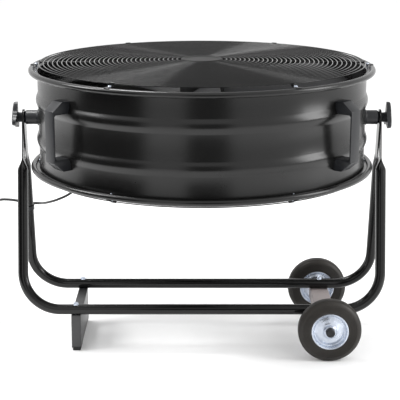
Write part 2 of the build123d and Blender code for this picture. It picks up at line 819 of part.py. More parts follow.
def plug_pins():
    pins = [block((0.05, 18), (y - 0.8, y + 0.8), (-3.2, 3.2)) for y in (-6.3, 6.3)]
    pins.append(rod_x(0.05, 20, 2.4, z=-8))
    return plug_place() * Compound(children=pins)


def cord_clip(cord_bore):
    """A plastic clip round the rear left leg, with a loop that holds the cord."""
    share = (cord_clip_height - tube_height) / (pivot_height - tube_height)
    leg_y = tube_spread / 2 * (1 - share)
    lean = math.degrees(math.atan2(tube_spread / 2, pivot_height - tube_height))
    x = -leg_spacing / 2
    ring = Cylinder(tube_radius + 2.5, cord_clip_size) - Cylinder(tube_radius + 0.1, cord_clip_size)
    neck = cord_loop_y - cord_diameter / 2
    ring += block((-4, 4), (tube_radius + 1, neck), (-cord_clip_size / 2, cord_clip_size / 2))
    ring += Pos(0, cord_loop_y, 0) * Rot(0, 90, cord_loop_turn) * Cylinder(cord_diameter / 2 + 2.4, cord_clip_size)
    return Pos(x, leg_y, cord_clip_height) * Rot(lean, 0, 0) * ring - cord_bore


print("cord radii", [round(r) for r in arc_radii(cord_route)])
tube = cord_tube(cord_diameter)
cord_bore = cord_tube(cord_diameter + 2 * clearance)
parts = {
    "drum_shell": drum_shell(),
    "top_guard": guard(1),
    "bottom_guard": guard(-1),
    "top_guard_clips": guard_clips(1),
    "bottom_guard_clips": guard_clips(-1),
    "guard_screws": guard_screws(),
    "wall_screws": wall_screws(),
    "left_handle": handle(180 + handle_angle),
    "right_handle": handle(-handle_angle),
    "left_sleeve": sleeve(-1),
    "right_sleeve": sleeve(1),
    "left_stud": stud(-1),
    "right_stud": stud(1),
    "left_tilt_knob": knob(-1, left_knob_turn),
    "right_tilt_knob": knob(1, right_knob_turn),
    "left_knob_insert": knob_insert(-1),
    "right_knob_insert": knob_insert(1),
    "front_frame_tube": frame_tube(-1, front_flat_x),
    "rear_frame_tube": frame_tube(1, rear_flat_x),
    "foot_channel": foot_channel(),
    "foot_pads": foot_pads(),
    "foot_bolts": frame_bolts(foot_x, sheet_thickness),
    "axle_channel": axle_channel(),
    "axle_channel_bolts": frame_bolts(axle_x, sheet_thickness),
    "axle": axle(),
    "wheel_spacers": wheel_spacers(),
    "axle_caps": axle_caps(),
    "motor_plate": motor_plate(),
    "plate_bolts": plate_bolts(),
    "motor_bolts": motor_bolts(),
    "motor_rear_cap": motor_rear_cap(),
    "motor_case": motor_case(),
    "motor_front_cap": motor_front_cap(),
    "motor_stator": motor_stator(),
    "motor_shaft": motor_shaft(),
    "fan_hub": fan_hub(),
    "switch_box": switch_box(),
    "switch_lid": switch_lid(),
    "lid_screws": lid_screws(),
    "speed_switch": speed_switch(),
    "speed_knob": speed_knob(),
    "cord_gland": cord_gland(),
    "cord_lead": cord_lead(tube),
    "cord_run": cord_run(tube),
    "cord_coil": cord_coil(),
    "cord_tie": cord_tie(),
    "plug_body": plug_body(),
    "plug_pins": plug_pins(),
    "cord_clip": cord_clip(cord_bore),
}
for name, side in (("front", -1), ("rear", 1)):
    parts[f"{name}_motor_bar"] = motor_bar(side)
    parts[f"{name}_tyre"] = tyre(side)
    parts[f"{name}_wheel_rim"] = wheel_rim(side)
    parts[f"{name}_wheel_bush"] = wheel_bush(side)
for index in range(blade_count):
    parts[f"fan_blade_{index + 1}"] = fan_blade(index)

os.makedirs("parts", exist_ok=True)
for name, part in parts.items():
    export_step(part, f"parts/{name}.step")
print(len(parts), "parts")
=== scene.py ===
import math

import bmesh
import bpy
from mathutils import Matrix, Vector


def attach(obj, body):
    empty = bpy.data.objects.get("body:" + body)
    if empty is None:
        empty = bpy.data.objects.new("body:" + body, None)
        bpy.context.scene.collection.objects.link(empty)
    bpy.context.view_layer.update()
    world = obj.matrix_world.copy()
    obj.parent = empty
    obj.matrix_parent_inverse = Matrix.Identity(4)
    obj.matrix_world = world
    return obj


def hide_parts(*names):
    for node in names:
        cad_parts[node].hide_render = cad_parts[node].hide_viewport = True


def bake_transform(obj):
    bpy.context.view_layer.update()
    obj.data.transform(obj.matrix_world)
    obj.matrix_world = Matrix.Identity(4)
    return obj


# A tilting drum fan on a wheeled tube stand. Lengths in the dictionaries are in millimetres.
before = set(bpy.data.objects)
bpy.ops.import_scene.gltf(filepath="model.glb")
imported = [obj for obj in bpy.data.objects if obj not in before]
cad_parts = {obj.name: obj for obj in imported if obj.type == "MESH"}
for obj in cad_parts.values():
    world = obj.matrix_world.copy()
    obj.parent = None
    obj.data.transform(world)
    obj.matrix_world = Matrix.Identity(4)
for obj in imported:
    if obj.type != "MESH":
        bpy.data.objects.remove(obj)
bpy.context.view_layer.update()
bpy.context.preferences.edit.use_global_undo = False
scene = bpy.context.scene
mm = 0.001
fullTurn = 2 * math.pi
print("frame loaded:", len(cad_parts), "nodes")


# Small tools for working by hand
def at(x, y, z):
    return Vector((x, y, z)) * mm


def spread(first, last, count):  # evenly spaced values, both ends included
    return [first + (last - first) * i / (count - 1) for i in range(count)]


def ease(share):
    return share * share * (3 - 2 * share)


def select(piece):
    bpy.ops.object.select_all(action="DESELECT")
    piece.select_set(True)
    bpy.context.view_layer.objects.active = piece


def add(name, primitive, **settings):  # a primitive whose place and size go into its mesh
    bpy.ops.object.select_all(action="DESELECT")
    primitive(**settings)
    piece = bpy.context.object
    piece.name = piece.data.name = name
    bpy.ops.object.transform_apply(location=True, rotation=True, scale=True)
    return piece


def edit(piece):
    select(piece)
    bpy.ops.object.mode_set(mode="EDIT")
    bpy.ops.mesh.select_mode(type="VERT")


def closeEdit():
    bpy.ops.object.mode_set(mode="OBJECT")


def pick(kind, wanted):  # selects the elements whose middle and direction pass a test
    bpy.ops.mesh.select_mode(type=kind)
    bpy.ops.mesh.select_all(action="DESELECT")
    mesh = bpy.context.object.data
    shape = bmesh.from_edit_mesh(mesh)
    if kind == "FACE":
        for face in shape.faces:
            face.select_set(wanted(face.calc_center_median(), face.normal))
    elif kind == "EDGE":
        for edge in shape.edges:
            start, end = edge.verts[0].co, edge.verts[1].co
            edge.select_set(wanted((start + end) / 2, end - start))
    else:
        for vert in shape.verts:
            vert.select_set(wanted(vert.co, vert.normal))
    shape.select_flush_mode()
    bmesh.update_edit_mesh(mesh)


def extrudeBy(move):
    bpy.ops.mesh.extrude_region_move(TRANSFORM_OT_translate={"value": move})


def moveSelected(place):  # place(co) gives each selected vertex its new place
    mesh = bpy.context.object.data
    shape = bmesh.from_edit_mesh(mesh)
    for vert in shape.verts:
        if vert.select:
            vert.co = place(vert.co)
    bmesh.update_edit_mesh(mesh)


def trace(name, points, closed=False):  # one vertex, extruded from point to point
    piece = add(name, bpy.ops.mesh.primitive_plane_add, size=mm, location=points[0])
    edit(piece)
    bpy.ops.mesh.merge(type="CENTER")
    for before, after in zip(points, points[1:]):
        extrudeBy(after - before)
    if closed:
        extrudeBy(points[0] - points[-1])
        bpy.ops.mesh.select_all(action="SELECT")
        bpy.ops.mesh.remove_doubles(threshold=0.01 * mm)
    bpy.ops.mesh.select_all(action="SELECT")
    return piece


def lathe(name, outline, steps=96, closed=True, angle=fullTurn):  # (radius, height) points spun about Z
    piece = trace(name, [at(radius, 0, height) for radius, height in outline], closed)
    bpy.ops.mesh.spin(steps=steps, angle=angle, center=(0, 0, 0), axis=(0, 0, 1))
    bpy.ops.mesh.select_all(action="SELECT")
    bpy.ops.mesh.remove_doubles(threshold=0.01 * mm)
    bpy.ops.mesh.normals_make_consistent(inside=False)
    closeEdit()
    return piece


def slab(name, outline, low, high):  # a closed (x, y) outline, filled and extruded along Z
    piece = trace(name, [at(x, y, low) for x, y in outline], closed=True)
    bpy.ops.mesh.edge_face_add()
    extrudeBy(at(0, 0, high - low))
    bpy.ops.mesh.select_all(action="SELECT")
    bpy.ops.mesh.normals_make_consistent(inside=False)
    closeEdit()
    return piece


def block(name, low, high):
    size = [b - a for a, b in zip(low, high)]
    middle = [(a + b) / 2 for a, b in zip(low, high)]
    return add(name, bpy.ops.mesh.primitive_cube_add, size=1, location=at(*middle), scale=at(*size))


def modify(piece, kind, **settings):  # adds a modifier and applies it
    select(piece)
    modifier = piece.modifiers.new(kind.lower(), kind)
    for setting, value in settings.items():
        setattr(modifier, setting, value)
    bpy.ops.object.modifier_apply(modifier=modifier.name)
    return piece


def roundEdges(piece, width, segments=2, angle=35):
    return modify(
        piece,
        "BEVEL",
        width=width * mm,
        segments=segments,
        limit_method="ANGLE",
        angle_limit=math.radians(angle),
        harden_normals=False,
    )


def thicken(piece, sheet, offset=0.0):
    return modify(piece, "SOLIDIFY", thickness=sheet * mm, offset=offset, use_even_offset=True)


def cutOut(piece, cutter):
    modify(piece, "BOOLEAN", object=cutter, operation="DIFFERENCE", solver="EXACT")
    bpy.data.objects.remove(cutter)
    return piece


def put(piece, place):  # moves the mesh, and keeps its faces outwards when the place is mirrored
    piece.data.transform(place)
    if place.determinant() < 0:
        piece.data.flip_normals()
    return piece


def join(name, pieces):
    bpy.ops.object.select_all(action="DESELECT")
    for piece in pieces:
        piece.select_set(True)
    bpy.context.view_layer.objects.active = pieces[0]
    bpy.ops.object.join()
    joined = bpy.context.object
    joined.name = joined.data.name = name
    return joined


def copyTo(name, piece, places):  # one copy with its own mesh at each place, joined; the first piece goes
    copies = []
    for place in places:
        twin = piece.copy()
        twin.data = piece.data.copy()
        scene.collection.objects.link(twin)
        copies.append(put(twin, place))
    bpy.data.objects.remove(piece)
    return join(name, copies)


def move(x, y, z):
    return Matrix.Translation(at(x, y, z))


def turn(angle, axis="Z"):
    return Matrix.Rotation(math.radians(angle), 4, axis)


def frameOf(xAxis, yAxis, zAxis, origin=(0, 0, 0)):
    place = Matrix((xAxis, yAxis, zAxis)).transposed().to_4x4()
    place.translation = at(*origin)
    return place


def dress(piece, body, material, nodes=(), smooth=32):
    select(piece)
    bpy.ops.object.shade_smooth_by_angle(angle=math.radians(smooth))
    piece.data.materials.clear()
    piece.data.materials.append(material)
    if body:
        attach(piece, body)
    if nodes:
        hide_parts(*nodes)
    return piece


def finishNode(node, material):  # a CAD node keeps its shape and takes a new finish
    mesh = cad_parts[node].data
    mesh.materials.clear()
    mesh.materials.append(material)


# Camera
camera = {"x": -20, "y": -3514.5, "z": 1319.9, "down": 14.376, "turn": 0, "roll": 0,
          "focal": 111.71, "shift": 0.013}
cameraData = bpy.data.cameras.new("camera")
cameraData.lens, cameraData.sensor_width = camera["focal"], 36
cameraData.shift_x = camera["shift"]
cameraData.clip_end = 200
cameraObject = bpy.data.objects.new("camera", cameraData)
scene.collection.objects.link(cameraObject)
cameraObject.location = at(camera["x"], camera["y"], camera["z"])
cameraObject.rotation_euler = [math.radians(a) for a in (90 - camera["down"], camera["roll"], camera["turn"])]
scene.camera = cameraObject
print("camera placed")


# Shared shader groups
def newGroup(name, inputs, outputs):
    group = bpy.data.node_groups.new(name, "ShaderNodeTree")
    for label, value in inputs:
        kind = "NodeSocketColor" if isinstance(value, tuple) else "NodeSocketFloat"
        socket = group.interface.new_socket(label, in_out="INPUT", socket_type=kind)
        socket.default_value = value
    for label, kind in outputs:
        group.interface.new_socket(label, in_out="OUTPUT", socket_type=kind)
    return group, group.nodes.new("NodeGroupInput"), group.nodes.new("NodeGroupOutput")


def addNoise(tree, coordinates, detail, roughness=0.5):
    noise = tree.nodes.new("ShaderNodeTexNoise")
    noise.inputs["Detail"].default_value = detail
    noise.inputs["Roughness"].default_value = roughness
    tree.links.new(coordinates, noise.inputs["Vector"])
    return noise


def addMath(tree, operation, *values):
    node = tree.nodes.new("ShaderNodeMath")
    node.operation = operation
    for socket, value in zip(node.inputs, values):
        if isinstance(value, (int, float)):
            socket.default_value = value
        else:
            tree.links.new(value, socket)
    return node.outputs[0]


def addRange(tree, value, fromLow, fromHigh, toLow=0.0, toHigh=1.0):
    node = tree.nodes.new("ShaderNodeMapRange")
    tree.links.new(value, node.inputs["Value"])
    labels = ("From Min", "From Max", "To Min", "To Max")
    for label, number in zip(labels, (fromLow, fromHigh, toLow, toHigh)):
        node.inputs[label].default_value = number
    return node.outputs["Result"]


grainGroup, entry, leave = newGroup(
    "coatGrain",
    [
        ("Colour", (0.5, 0.5, 0.5, 1)),
        ("Colour Shift", 0.1),
        ("Patch Scale", 6.0),
        ("Grain Scale", 900.0),
        ("Roughness", 0.4),
        ("Roughness Shift", 0.05),
    ],
    [("Colour", "NodeSocketColor"), ("Roughness", "NodeSocketFloat"), ("Height", "NodeSocketFloat")],
)
links = grainGroup.links
objectCoords = grainGroup.nodes.new("ShaderNodeTexCoord").outputs["Object"]
patches = addNoise(grainGroup, objectCoords, 5, 0.6)
links.new(entry.outputs["Patch Scale"], patches.inputs["Scale"])
patchShift = addRange(grainGroup, patches.outputs["Fac"], 0.3, 0.7, -1, 1)
colourShift = addMath(grainGroup, "MULTIPLY_ADD", patchShift, entry.outputs["Colour Shift"], 1.0)
tint = grainGroup.nodes.new("ShaderNodeHueSaturation")
links.new(entry.outputs["Colour"], tint.inputs["Color"])
links.new(colourShift, tint.inputs["Value"])
links.new(tint.outputs["Color"], leave.inputs["Colour"])
grains = addNoise(grainGroup, objectCoords, 3)
links.new(entry.outputs["Grain Scale"], grains.inputs["Scale"])
links.new(grains.outputs["Fac"], leave.inputs["Height"])
roughShift = addMath(grainGroup, "MULTIPLY", patchShift, entry.outputs["Roughness Shift"])
links.new(addMath(grainGroup, "SUBTRACT", entry.outputs["Roughness"], roughShift), leave.inputs["Roughness"])

wearGroup, entry, leave = newGroup(
    "edgeWear", [("Width", 0.002), ("Amount", 0.5), ("Patch Scale", 60.0)], [("Mask", "NodeSocketFloat")]
)
links = wearGroup.links
rounded = wearGroup.nodes.new("ShaderNodeBevel")
rounded.samples = 4
links.new(entry.outputs["Width"], rounded.inputs["Radius"])
surface = wearGroup.nodes.new("ShaderNodeNewGeometry")
compare = wearGroup.nodes.new("ShaderNodeVectorMath")
compare.operation = "DOT_PRODUCT"
links.new(rounded.outputs["Normal"], compare.inputs[0])
links.new(surface.outputs["Normal"], compare.inputs[1])
edges = addRange(wearGroup, compare.outputs["Value"], 0.98, 0.8)
scuffs = addNoise(wearGroup, wearGroup.nodes.new("ShaderNodeTexCoord").outputs["Object"], 6, 0.7)
links.new(entry.outputs["Patch Scale"], scuffs.inputs["Scale"])
worn = addMath(wearGroup, "MULTIPLY", edges, addRange(wearGroup, scuffs.outputs["Fac"], 0.45, 0.62))
links.new(addMath(wearGroup, "MULTIPLY", worn, entry.outputs["Amount"]), leave.inputs["Mask"])

dustGroup, entry, leave = newGroup(
    "dustFilm", [("Amount", 0.2), ("Patch Scale", 12.0)], [("Mask", "NodeSocketFloat")]
)
links = dustGroup.links
split = dustGroup.nodes.new("ShaderNodeSeparateXYZ")
links.new(dustGroup.nodes.new("ShaderNodeNewGeometry").outputs["Normal"], split.inputs["Vector"])
upward = addRange(dustGroup, split.outputs["Z"], 0.2, 1.0)
motes = addNoise(dustGroup, dustGroup.nodes.new("ShaderNodeTexCoord").outputs["Object"], 8, 0.7)
links.new(entry.outputs["Patch Scale"], motes.inputs["Scale"])
settled = addMath(dustGroup, "MULTIPLY", upward, addRange(dustGroup, motes.outputs["Fac"], 0.35, 0.75))
links.new(addMath(dustGroup, "MULTIPLY", settled, entry.outputs["Amount"]), leave.inputs["Mask"])
print("shader groups made")

# One row for each finish
finishes = {
    "drumPaint": {"colour": (0.0045, 0.0045, 0.0044), "rough": 0.25, "specular": 0.4,
                  "grain": 700, "bump": 0.015},
    "tubePaint": {"colour": (0.004, 0.004, 0.004), "rough": 0.16, "specular": 0.35,
                  "grain": 600, "bump": 0.015},
    "discPaint": {"colour": (0.010, 0.010, 0.010), "rough": 0.5, "specular": 0.12,
                  "grain": 900, "bump": 0.05},
    "guardCoat": {"colour": (0.005, 0.005, 0.005), "rough": 0.14, "specular": 0.28,
                  "grain": 1500, "bump": 0.01},
    "zincPlate": {"colour": (0.60, 0.65, 0.74), "rough": 0.28, "grain": 500, "bump": 0.04, "metal": 0.9,
                  "shift": 0.14, "patch": 40, "roughShift": 0.1},
    "footPaint": {"colour": (0.035, 0.035, 0.036), "rough": 0.42, "grain": 500, "bump": 0.08, "wear": 0.15},
    "channelPaint": {"colour": (0.30, 0.265, 0.262), "rough": 0.45, "grain": 450, "bump": 0.12, "wear": 0.1},
    "tyreRubber": {"colour": (0.015, 0.0125, 0.010), "rough": 0.5, "specular": 0.4,
                   "grain": 900, "bump": 0.2, "dust": 0.08, "shift": 0.22, "patch": 25},
    "footRubber": {"colour": (0.012, 0.012, 0.012), "rough": 0.75, "grain": 900, "bump": 0.2},
    "mouldedPlastic": {"colour": (0.008, 0.0088, 0.0108), "rough": 0.36, "specular": 0.4,
                       "grain": 1200, "bump": 0.12},
    "cordSheath": {"colour": (0.010, 0.010, 0.010), "rough": 0.45, "grain": 900, "bump": 0.05},
    "motorPaint": {"colour": (0.008, 0.008, 0.008), "rough": 0.4, "specular": 0.3,
                   "grain": 400, "bump": 0.15},
    "statorSteel": {"colour": (0.22, 0.19, 0.17), "rough": 0.5, "grain": 300, "bump": 0.2, "metal": 0.9},
    "bladeMetal": {"colour": (0.014, 0.014, 0.015), "rough": 0.5, "grain": 500, "bump": 0.05, "metal": 0.3,
                   "shift": 0.12, "patch": 9, "specular": 0.3},
    "pinBrass": {"colour": (0.80, 0.62, 0.32), "rough": 0.25, "grain": 400, "bump": 0.03, "metal": 1.0},
}
dustColour = (0.22, 0.19, 0.15, 1)
bareSteel = (0.32, 0.31, 0.30, 1)


def mixColour(tree, share, first, second):
    node = tree.nodes.new("ShaderNodeMix")
    node.data_type = "RGBA"
    tree.links.new(share, node.inputs["Factor"])
    tree.links.new(first, node.inputs["A"])
    node.inputs["B"].default_value = second
    return node.outputs["Result"]


def makeFinish(name, finish):
    material = bpy.data.materials.new(name)
    material.use_nodes = True
    tree = material.node_tree
    shader = tree.nodes["Principled BSDF"]
    grain = tree.nodes.new("ShaderNodeGroup")
    grain.node_tree = grainGroup
    grain.inputs["Colour"].default_value = (*finish["colour"], 1)
    grain.inputs["Colour Shift"].default_value = finish.get("shift", 0.12)
    grain.inputs["Patch Scale"].default_value = finish.get("patch", 7)
    grain.inputs["Grain Scale"].default_value = finish["grain"]
    grain.inputs["Roughness"].default_value = finish["rough"]
    grain.inputs["Roughness Shift"].default_value = finish.get("roughShift", 0.03)
    colour = grain.outputs["Colour"]
    if finish.get("wear"):
        wear = tree.nodes.new("ShaderNodeGroup")
        wear.node_tree = wearGroup
        wear.inputs["Amount"].default_value = finish["wear"]
        wear.inputs["Width"].default_value = 1.5 * mm
        colour = mixColour(tree, wear.outputs["Mask"], colour, bareSteel)
    if finish.get("dust"):
        dust = tree.nodes.new("ShaderNodeGroup")
        dust.node_tree = dustGroup
        dust.inputs["Amount"].default_value = finish["dust"]
        colour = mixColour(tree, dust.outputs["Mask"], colour, dustColour)
    bump = tree.nodes.new("ShaderNodeBump")
    bump.inputs["Strength"].default_value = finish["bump"]
    bump.inputs["Distance"].default_value = 0.4 * mm
    tree.links.new(grain.outputs["Height"], bump.inputs["Height"])
    tree.links.new(bump.outputs["Normal"], shader.inputs["Normal"])
    tree.links.new(colour, shader.inputs["Base Color"])
    tree.links.new(grain.outputs["Roughness"], shader.inputs["Roughness"])
    shader.inputs["Metallic"].default_value = finish.get("metal", 0)
    shader.inputs["IOR"].default_value = 1.5
    shader.inputs["Specular IOR Level"].default_value = finish.get("specular", 0.5)
    return material


paint = {name: makeFinish(name, finish) for name, finish in finishes.items()}
print("materials made:", len(paint))

# Power cord: the route from the gland's tip, then the coil of spare cord and the lead to the plug
cord = {
    "diameter": 8,
    "route": [
        (-323, 385, 552), (-324, 383, 512), (-334, 370, 466), (-355, 345, 420), (-384, 318, 385),
        (-418, 289, 362), (-452, 250, 355), (-474, 205, 359), (-484, 156, 369), (-489, 110, 381),
        (-503, 90, 386), (-524, 80, 391), (-567, 81, 400), (-610, 88, 399), (-641, 94, 374),
        (-653, 92, 328), (-656, 86, 268), (-654, 78, 206), (-648, 71, 148), (-643, 68, 99),
        (-641, 80, 66), (-640.5, 98, 46),
    ],
    "coilCentre": (-690, 100),
    "outer": 52,
    "inner": 44,
    "pointsPerTurn": 16,
    "plugLead": [(-672.5, 57.5, 23.5), (-655, 64, 28), (-639, 75, 33), (-629, 91, 36), (-626, 109, 37.5),
                 (-631, 127.5, 38.2), (-645.5, 142.5, 38.5), (-663.5, 148, 38.7), (-680.4, 144.2, 38.7)],
    "clipAt": (-515, 84, 388),
}


def coilPoints():  # two turns down outside, then up again inside them
    x, y = cord["coilCentre"]
    points = []
    stations = [(0.06, cord["outer"], 32.0), (0.25, cord["outer"], 21.8), (1.07, cord["outer"], 14.0),
                (2.0, cord["outer"], 5.7), (2.25, cord["inner"], 5.7), (3.2, cord["inner"], 13.9),
                (3.81, cord["inner"], 22.5)]
    for (t0, r0, z0), (t1, r1, z1) in zip(stations, stations[1:]):
        count = max(2, round((t1 - t0) * cord["pointsPerTurn"]))
        for i in range(count):
            share = i / count
            angle = fullTurn * (t0 + (t1 - t0) * share)
            radius = (r0 + (r1 - r0) * ease(share)) / 0.985
            height = z0 + (z1 - z0) * share
            points.append((x + radius * math.cos(angle), y + radius * math.sin(angle), height))
    return points


def splineFrom(name, points, bevel):
    data = bpy.data.curves.new(name, "CURVE")
    data.dimensions = "3D"
    spline = data.splines.new("NURBS")
    spline.points.add(len(points) - 1)
    for point, place in zip(spline.points, points):
        point.co = (*at(*place), 1)
    spline.order_u = 3
    spline.use_endpoint_u = True
    spline.resolution_u = 6
    data.bevel_depth = bevel * mm
    data.bevel_resolution = 3
    data.use_fill_caps = bevel > 0
    curve = bpy.data.objects.new(name, data)
    scene.collection.objects.link(curve)
    bpy.context.view_layer.update()
    return curve


def meshOf(curve):
    return bpy.data.meshes.new_from_object(curve.evaluated_get(bpy.context.evaluated_depsgraph_get()))


cordPoints = cord["route"] + coilPoints() + cord["plugLead"]
cordLine = splineFrom("cordLine", cordPoints, 0)
cordPath = [vert.co.copy() for vert in meshOf(cordLine).vertices]
cordTube = splineFrom("cordTube", cordPoints, cord["diameter"] / 2)
powerCord = bpy.data.objects.new("powerCord", meshOf(cordTube))
scene.collection.objects.link(powerCord)
bpy.data.objects.remove(cordLine)
bpy.data.objects.remove(cordTube)
cordLength = sum((b - a).length for a, b in zip(cordPath, cordPath[1:]))
dress(powerCord, None, paint["cordSheath"], ("cord_lead", "cord_run", "cord_coil"), smooth=60)
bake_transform(powerCord)
print("power cord:", round(cordLength, 3), "m")

# Cord gland: a nylon nut with a tapered, ribbed strain relief down to the tip
gland = {"tip": (-323, 385, 552), "top": 600.0, "bore": 4.3, "nut": 14.3, "steps": 48}
glandOutline = [(gland["bore"], 0), (5.6, 0), (6.4, 0.8)]
for i in range(5):
    rib = 2.2 + i * 3.6
    grow = i * 0.45
    glandOutline += [(6.6 + grow, rib), (6.9 + grow, rib + 2.0), (6.1 + grow, rib + 2.4), (6.1 + grow, rib + 3.4)]
glandOutline += [(9.4, 21), (10.8, 23), (11.8, 24.5), (12.4, 27), (12.4, 42.8),
                 (8.1, 42.9), (8.1, 56), (gland["bore"], 56)]
glandPiece = lathe("cordGland", glandOutline, gland["steps"])
put(glandPiece, move(*gland["tip"]))
dress(glandPiece, "drum", paint["mouldedPlastic"], ("cord_gland",))

# Plug: a rounded body with finger grips, its back towards the cord
plug = {"front": (-723.7, 128.2, 38.7), "turn": 200, "length": 46}
plugOutline = [(0, 0), (11.6, 0), (12.8, 1.4), (13, 4)]
for i in range(4):
    plugOutline += [(13, 12 + i * 4), (12.1, 13 + i * 4), (12.1, 14.4 + i * 4), (13, 15.2 + i * 4)]
plugOutline += [(12.6, 31), (10.5, 36), (7.6, 39), (6.2, 41), (5.6, 46), (4.2, 46.4), (0, 46.4)]
plugPiece = lathe("plugBody", plugOutline, 48, closed=False)
put(plugPiece, turn(-90, "Y"))
put(plugPiece, move(*plug["front"]) @ turn(plug["turn"]))
dress(plugPiece, "stand", paint["mouldedPlastic"], ("plug_body",))
finishNode("plug_pins", paint["pinBrass"])

# Tie: a soft strap round the coil's turns, with its buckle
tie = {"at": (-690, 52, 13.8), "halfWide": 10.6, "halfHigh": 12.4, "corner": 4, "width": 12, "sheet": 1.2}
tieOutline = []
for cornerX, cornerZ, first in ((1, 1, 0), (-1, 1, 90), (-1, -1, 180), (1, -1, 270)):
    for angle in spread(first, first + 90, 6):
        a = math.radians(angle)
        x = cornerX * (tie["halfWide"] - tie["corner"]) + tie["corner"] * math.cos(a)
        z = cornerZ * (tie["halfHigh"] - tie["corner"]) + tie["corner"] * math.sin(a)
        tieOutline.append((x, z))
tieStrap = trace("tieStrap", [at(0, x, z) for x, z in tieOutline], closed=True)
extrudeBy(at(tie["width"], 0, 0))
bpy.ops.mesh.select_all(action="SELECT")
bpy.ops.mesh.normals_make_consistent(inside=False)
closeEdit()
put(tieStrap, move(-tie["width"] / 2, 0, 0))
thicken(tieStrap, tie["sheet"])
tieBuckle = block("tieBuckle", (-7, 10.2, -5), (7, 12.8, 5))
roundEdges(tieBuckle, 0.8)
tiePiece = join("cordTie", [tieStrap, tieBuckle])
put(tiePiece, move(*tie["at"]))
dress(tiePiece, "stand", paint["footRubber"], ("cord_tie",))
print("cord's end pieces made")

# Drum shell: a rolled sheet with two beads and curled rims
shell = {"centre": 671.5, "radius": 465.5, "sheet": 1.5, "halfDepth": 145.5, "roll": 8, "rollAt": 482,
         "beadAt": 55, "beadHalf": 21, "beadHeight": 6, "fold": 3, "steps": 240}


def wallOutline(radius):  # both beads, from below to above
    points = []
    for middle in (-shell["beadAt"], shell["beadAt"]):
        for share in spread(-1, 1, 19):
            rise = shell["beadHeight"] * math.cos(share * math.pi / 2) ** 1.25 if abs(share) < 1 else 0
            points.append((radius + rise, middle + share * shell["beadHalf"]))
    return points


def rimOutline(radius):  # from the wall's top out over the curl, in the sheet's middle
    level = shell["halfDepth"] - shell["roll"]
    fold, curl = shell["fold"], shell["roll"] - shell["sheet"] / 2
    points = [(radius, level - fold)]
    points += [(radius + fold - fold * math.cos(a), level - fold + fold * math.sin(a)) for a in spread(0.4, 1.2, 3)]
    points += [(radius + fold, level), (shell["rollAt"] - curl - 1, level)]
    for angle in spread(165, -150, 22):
        a = math.radians(angle)
        points.append((shell["rollAt"] + curl * math.cos(a), level + curl * math.sin(a)))
    return points


sheetMiddle = shell["radius"] - shell["sheet"] / 2
upperRim = rimOutline(sheetMiddle)
lowerRim = [(radius, -height) for radius, height in reversed(upperRim)]
drumShell = lathe("drumShell", lowerRim + wallOutline(sheetMiddle) + upperRim, shell["steps"], closed=False)
put(drumShell, move(0, 0, shell["centre"]))
thicken(drumShell, shell["sheet"])
dress(drumShell, "drum", paint["drumPaint"], ("drum_shell",), smooth=50)
print("drum shell made:", len(drumShell.data.polygons), "faces")

# Guards: rings of wire on six ribs, with a dished middle plate
guard = {"outerRing": 461, "pitch": 13, "rings": 31, "wire": 1.5, "rise": 154.5, "slope": 0.015,
         "rib": 2, "ribStart": 34, "ribs": 6, "plate": 59}


def ringHeight(radius):
    return guard["rise"] + guard["slope"] * (guard["outerRing"] - radius)


def makeGuard(name):
    wires = []
    for i in range(guard["rings"]):
        radius = guard["outerRing"] - guard["pitch"] * i
        wires.append(add(
            "ring",
            bpy.ops.mesh.primitive_torus_add,
            major_segments=max(56, round(radius * 0.36)),
            minor_segments=8,
            major_radius=radius * mm,
            minor_radius=guard["wire"] * mm,
            location=at(0, 0, ringHeight(radius)),
        ))
    drop = guard["wire"] + guard["rib"]
    outer = guard["outerRing"] + guard["wire"]
    length = outer - guard["ribStart"]
    rib = add("rib", bpy.ops.mesh.primitive_cylinder_add, vertices=12, radius=guard["rib"] * mm,
              depth=length * mm)
    roundEdges(rib, 0.8, 2, 60)
    middle = (outer + guard["ribStart"]) / 2
    fall = math.degrees(math.atan(guard["slope"]))
    put(rib, move(middle, 0, ringHeight(middle) - drop) @ turn(90 + fall, "Y"))
    ribs = copyTo("ribs", rib, [turn(360 / guard["ribs"] * i) for i in range(guard["ribs"])])
    base = ringHeight(guard["plate"])
    dish = [(0, 0.1), (30, 0.1), (46, 0.1), (49.5, 0.5), (52, 1.6), (54.5, 2.5), (57, 2.2), (58.8, 0.9),
            (59.4, -0.9)]
    plate = lathe(f"{name}Plate", [(radius, base + height) for radius, height in dish], 96, closed=False)
    thicken(plate, 1.2)
    return join(name, wires + [ribs]), plate


flipDrum = Matrix.Translation(at(0, 0, shell["centre"])) @ turn(180, "X")
liftDrum = Matrix.Translation(at(0, 0, shell["centre"]))
for name, place, node in (("topGuard", liftDrum, "top_guard"), ("bottomGuard", flipDrum, "bottom_guard")):
    guardPiece, plate = makeGuard(name)
    dress(put(guardPiece, place), "drum", paint["guardCoat"], (node,), smooth=50)
    dress(put(plate, place), "drum", paint["discPaint"], (node,), smooth=50)
print("guards made:", len(guardPiece.data.polygons), "faces each")

